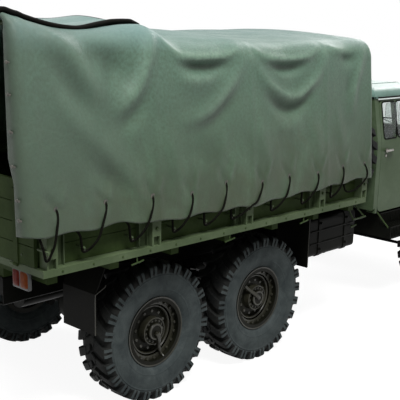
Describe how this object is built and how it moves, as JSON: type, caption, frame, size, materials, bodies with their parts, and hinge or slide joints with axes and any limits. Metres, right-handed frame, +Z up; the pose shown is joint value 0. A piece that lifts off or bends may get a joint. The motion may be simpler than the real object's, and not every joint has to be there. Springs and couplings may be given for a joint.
{
  "type": "military cargo truck",
  "caption": "Three-axle cargo truck with a bonneted two-door cab, six large single wheels, a planked cargo bed and a rope-lashed canvas cover over tube bows.",
  "frame": {"origin": "centre of the overall box at ground level, under the middle of the truck", "axes": "+X forward to the bumper, +Y to the truck's left, +Z up"},
  "size_m": [7.05, 2.6264, 2.9304],
  "materials": {
    "cab_paint": "satin faded green paint",
    "bed_paint": "matt green paint",
    "board_paint": "matt dark olive paint on boards",
    "chassis_paint": "matt black paint with road dust",
    "engine_iron": "painted casting",
    "tyre": "dusty rubber",
    "rim_paint": "matt olive paint",
    "canvas": "weathered canvas",
    "rope": "laid rope",
    "glass": "clear",
    "seat": "grained covering",
    "lamp": "lamp body and lens",
    "steel": "heat-browned steel",
    "rubber": "matt rubber",
    "dash": "matt"
  },
  "bodies": {
    "chassis": {"frame_rails": "chassis_paint", "frame_crossmembers": "chassis_paint", "front_bumper": "chassis_paint", "tow_hook": "chassis_paint", "engine": "engine_iron", "radiator": "chassis_paint", "driveline": "chassis_paint", "front_axle": "chassis_paint", "rear_axles": "chassis_paint", "leaf_springs": "chassis_paint", "bogie_linkage": "chassis_paint", "spare_rim": "rim_paint", "spare_tyre": "tyre", "cab_floor": "cab_paint", "cab_back_wall": "cab_paint", "cab_front_frame": "cab_paint", "cab_glass": "glass", "cab_roof": "cab_paint", "dashboard": "dash", "steering_wheel": "dash", "cab_seats": "seat", "front_fenders": "cab_paint", "grille_panel": "cab_paint", "headlamps": "lamp", "running_boards": "bed_paint", "bed_floor": "board_paint", "bed_sills": "bed_paint", "bed_bearers": "bed_paint", "bed_boards": "board_paint", "bed_posts": "bed_paint", "benches": "board_paint", "canopy_bows": "bed_paint", "canvas_cover": "canvas", "rear_curtain": "canvas", "lashing_ropes": "rope", "tanks": "bed_paint", "mudflaps": "rubber", "tail_lamps": "lamp", "exhaust": "steel"},
    "wheel_front_left": {"rim_front_left": "rim_paint", "tyre_front_left": "tyre"},
    "wheel_front_right": {"rim_front_right": "rim_paint", "tyre_front_right": "tyre"},
    "wheel_middle_left": {"rim_middle_left": "rim_paint", "tyre_middle_left": "tyre"},
    "wheel_middle_right": {"rim_middle_right": "rim_paint", "tyre_middle_right": "tyre"},
    "wheel_rear_left": {"rim_rear_left": "rim_paint", "tyre_rear_left": "tyre"},
    "wheel_rear_right": {"rim_rear_right": "rim_paint", "tyre_rear_right": "tyre"},
    "hood": {"hood": "cab_paint"},
    "door_right": {"door_right": "cab_paint", "door_glass_right": "glass"},
    "door_left": {"door_left": "cab_paint", "door_glass_left": "glass"},
    "tailgate": {"tailgate": "board_paint"},
    "knuckle_left": {"knuckle_left": "chassis_paint"},
    "knuckle_right": {"knuckle_right": "chassis_paint"},
    "tie_rod": {"tie_rod": "chassis_paint"}
  },
  "joints": [
    {"name": "hood_hinge", "type": "hinge", "parent": "chassis", "child": "hood", "pos_m": [2.2445, 0, 1.806], "axis": [0, -1, 0], "range_deg": [0, 55]},
    {"name": "door_right_hinge", "type": "hinge", "parent": "chassis", "child": "door_right", "pos_m": [1.988, -0.9945, 1.5], "axis": [0, 0, 1], "range_deg": [0, 70]},
    {"name": "door_left_hinge", "type": "hinge", "parent": "chassis", "child": "door_left", "pos_m": [1.988, 0.9945, 1.5], "axis": [0, 0, -1], "range_deg": [0, 70]},
    {"name": "tailgate_hinge", "type": "hinge", "parent": "chassis", "child": "tailgate", "pos_m": [-3.387, 0, 1.358], "axis": [0, -1, 0], "range_deg": [0, 175]},
    {"name": "steer_left", "type": "hinge", "parent": "chassis", "child": "knuckle_left", "pos_m": [2.465, 0.702, 0.57], "axis": [0, 0, 1], "range_deg": [-28, 28]},
    {"name": "steer_right", "type": "hinge", "parent": "chassis", "child": "knuckle_right", "pos_m": [2.465, -0.702, 0.57], "axis": [0, 0, 1], "range_deg": [-28, 28]},
    {"name": "tie_rod_swivel", "type": "hinge", "parent": "knuckle_left", "child": "tie_rod", "pos_m": [2.215, 0.674, 0.46], "axis": [0, 0, 1], "range_deg": [-28, 28]},
    {"name": "spin_front_left", "type": "hinge", "parent": "knuckle_left", "child": "wheel_front_left", "pos_m": [2.465, 0.872, 0.57], "axis": [0, 1, 0], "continuous": true},
    {"name": "spin_front_right", "type": "hinge", "parent": "knuckle_right", "child": "wheel_front_right", "pos_m": [2.465, -0.872, 0.57], "axis": [0, 1, 0], "continuous": true},
    {"name": "spin_middle_left", "type": "hinge", "parent": "chassis", "child": "wheel_middle_left", "pos_m": [-0.885, 0.872, 0.57], "axis": [0, 1, 0], "continuous": true},
    {"name": "spin_middle_right", "type": "hinge", "parent": "chassis", "child": "wheel_middle_right", "pos_m": [-0.885, -0.872, 0.57], "axis": [0, 1, 0], "continuous": true},
    {"name": "spin_rear_left", "type": "hinge", "parent": "chassis", "child": "wheel_rear_left", "pos_m": [-2.135, 0.872, 0.57], "axis": [0, 1, 0], "continuous": true},
    {"name": "spin_rear_right", "type": "hinge", "parent": "chassis", "child": "wheel_rear_right", "pos_m": [-2.135, -0.872, 0.57], "axis": [0, 1, 0], "continuous": true}
  ],
  "couplings": [
    {"joint": "steer_right", "follows": "steer_left", "ratio": 1},
    {"joint": "tie_rod_swivel", "follows": "steer_left", "ratio": -1}
  ]
}
